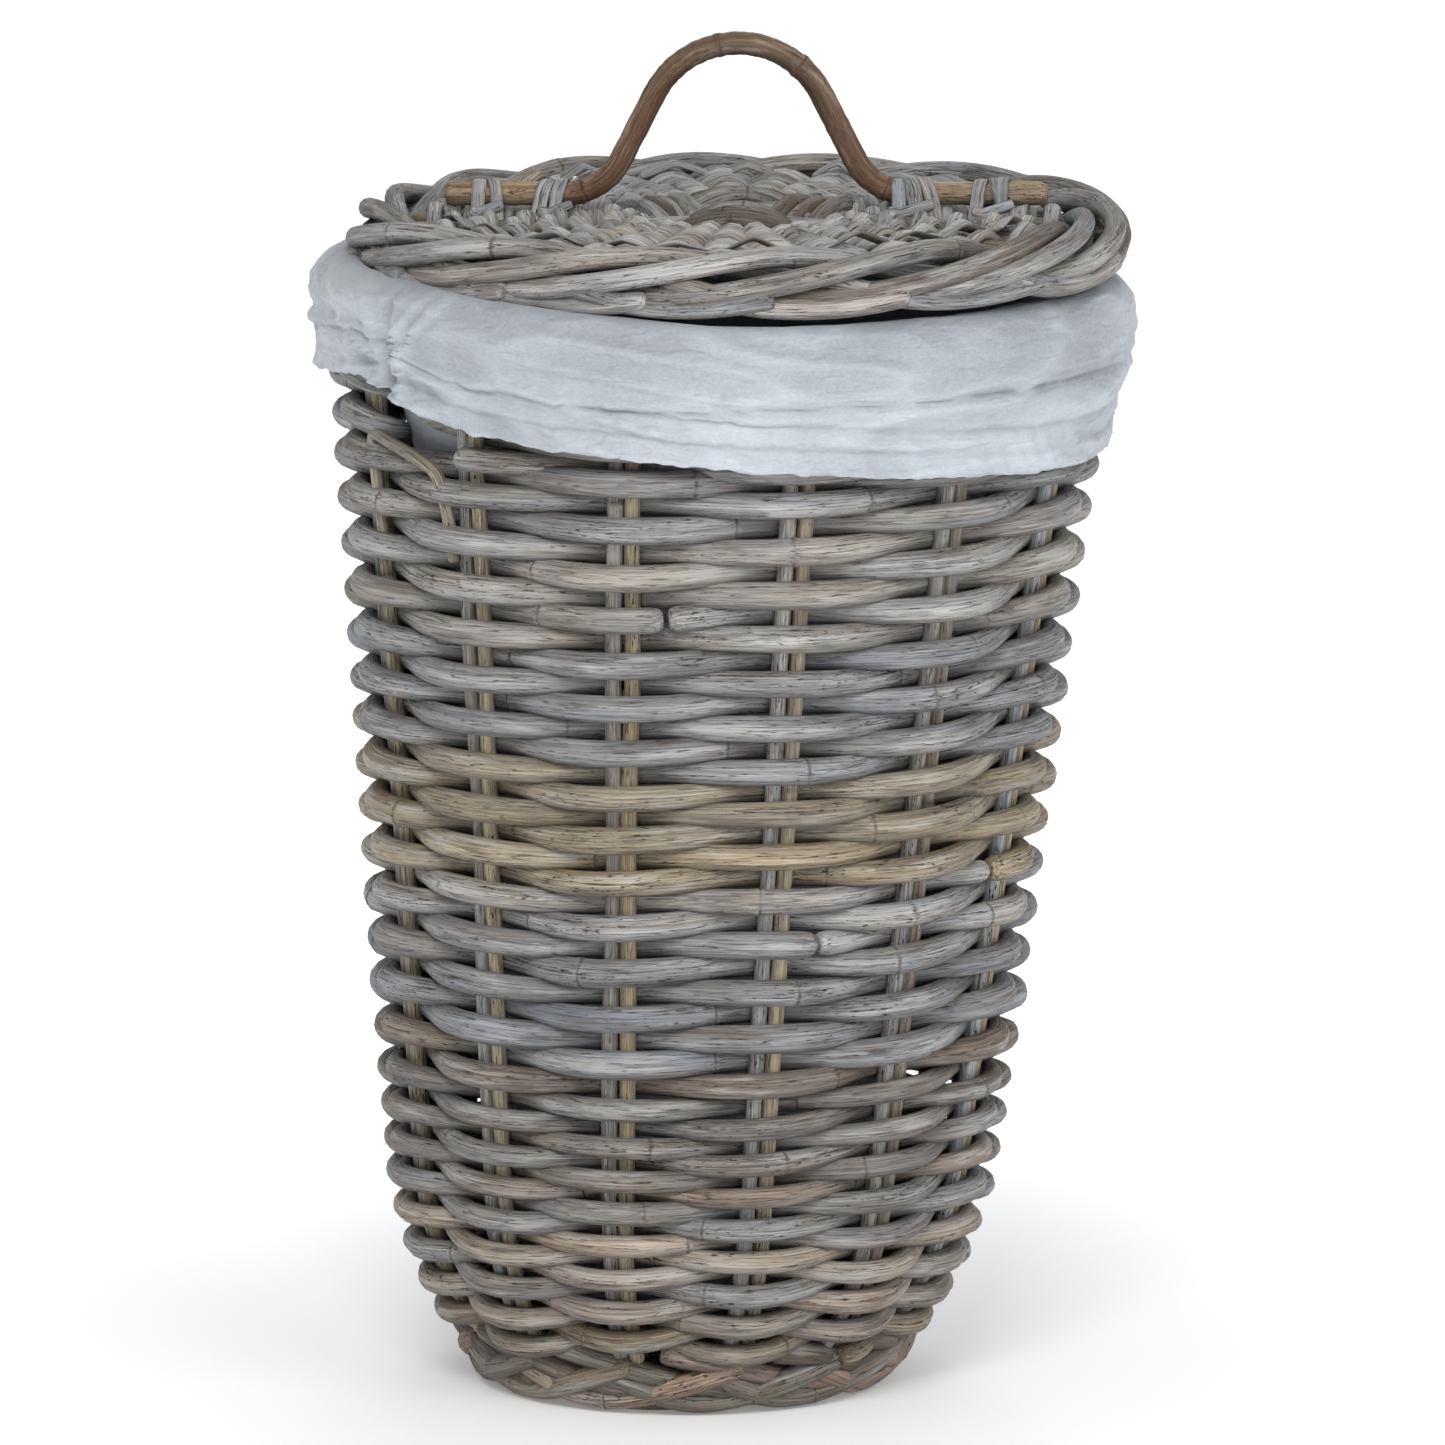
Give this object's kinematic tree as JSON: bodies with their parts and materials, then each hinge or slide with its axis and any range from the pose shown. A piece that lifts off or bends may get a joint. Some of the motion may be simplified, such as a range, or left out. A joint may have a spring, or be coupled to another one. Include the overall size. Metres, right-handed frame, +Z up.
{
  "type": "woven laundry basket",
  "caption": "Round tapered laundry basket in thick grey cane over paired stakes, with a cloth liner folded over the rim and a loose woven lid with a bent cane handle.",
  "frame": {"origin": "on the floor below the middle of the mouth, which is the middle of the bottom of the whole object's box; the foot's middle lies 20 mm from it, because the basket leans a little", "axes": "+Z up; X runs parallel to the line through the two hand holes; -Y is the side of the first stake pair"},
  "size_m": [0.4319, 0.432, 0.7106],
  "materials": {
    "grey_cane": "matt weathered",
    "stake_cane": "matt weathered",
    "handle_cane": "satin",
    "lashing_strip": "matt",
    "liner_cloth": "plain woven cotton",
    "elastic": "flat knitted elastic"
  },
  "bodies": {
    "basket": {"side_weave": "grey_cane", "hole_panel_front": "grey_cane", "hole_panel_back": "grey_cane", "top_weave": "grey_cane", "rim_border": "grey_cane", "foot_border": "grey_cane", "base_weave": "grey_cane", "base_sticks_lengthways": "stake_cane", "base_sticks_crossways": "stake_cane", "hole_edge_cane_left": "stake_cane", "hole_edge_cane_right": "stake_cane", "liner_side": "liner_cloth", "liner_base": "liner_cloth", "liner_elastic": "elastic", "stake_pair_01": "stake_cane", "stake_pair_02": "stake_cane", "stake_pair_03": "stake_cane", "stake_pair_04": "stake_cane", "stake_pair_05": "stake_cane", "stake_pair_06": "stake_cane", "stake_pair_07": "stake_cane", "stake_pair_08": "stake_cane", "stake_pair_09": "stake_cane", "stake_pair_10": "stake_cane", "stake_pair_11": "stake_cane", "stake_pair_12": "stake_cane", "stake_pair_13": "stake_cane"},
    "lid": {"lid_border": "grey_cane", "lid_weave": "grey_cane", "lid_sticks_lengthways": "stake_cane", "lid_sticks_crossways": "stake_cane", "lid_handle": "handle_cane", "lashing_left_outer": "lashing_strip", "lashing_left_inner": "lashing_strip", "lashing_right_inner": "lashing_strip", "lashing_right_outer": "lashing_strip"}
  },
  "joints": [
    {"name": "lid_lift", "type": "slide", "parent": "basket", "child": "lid", "axis": [0, 0, 1], "range_m": [0, 0.25]}
  ]
}
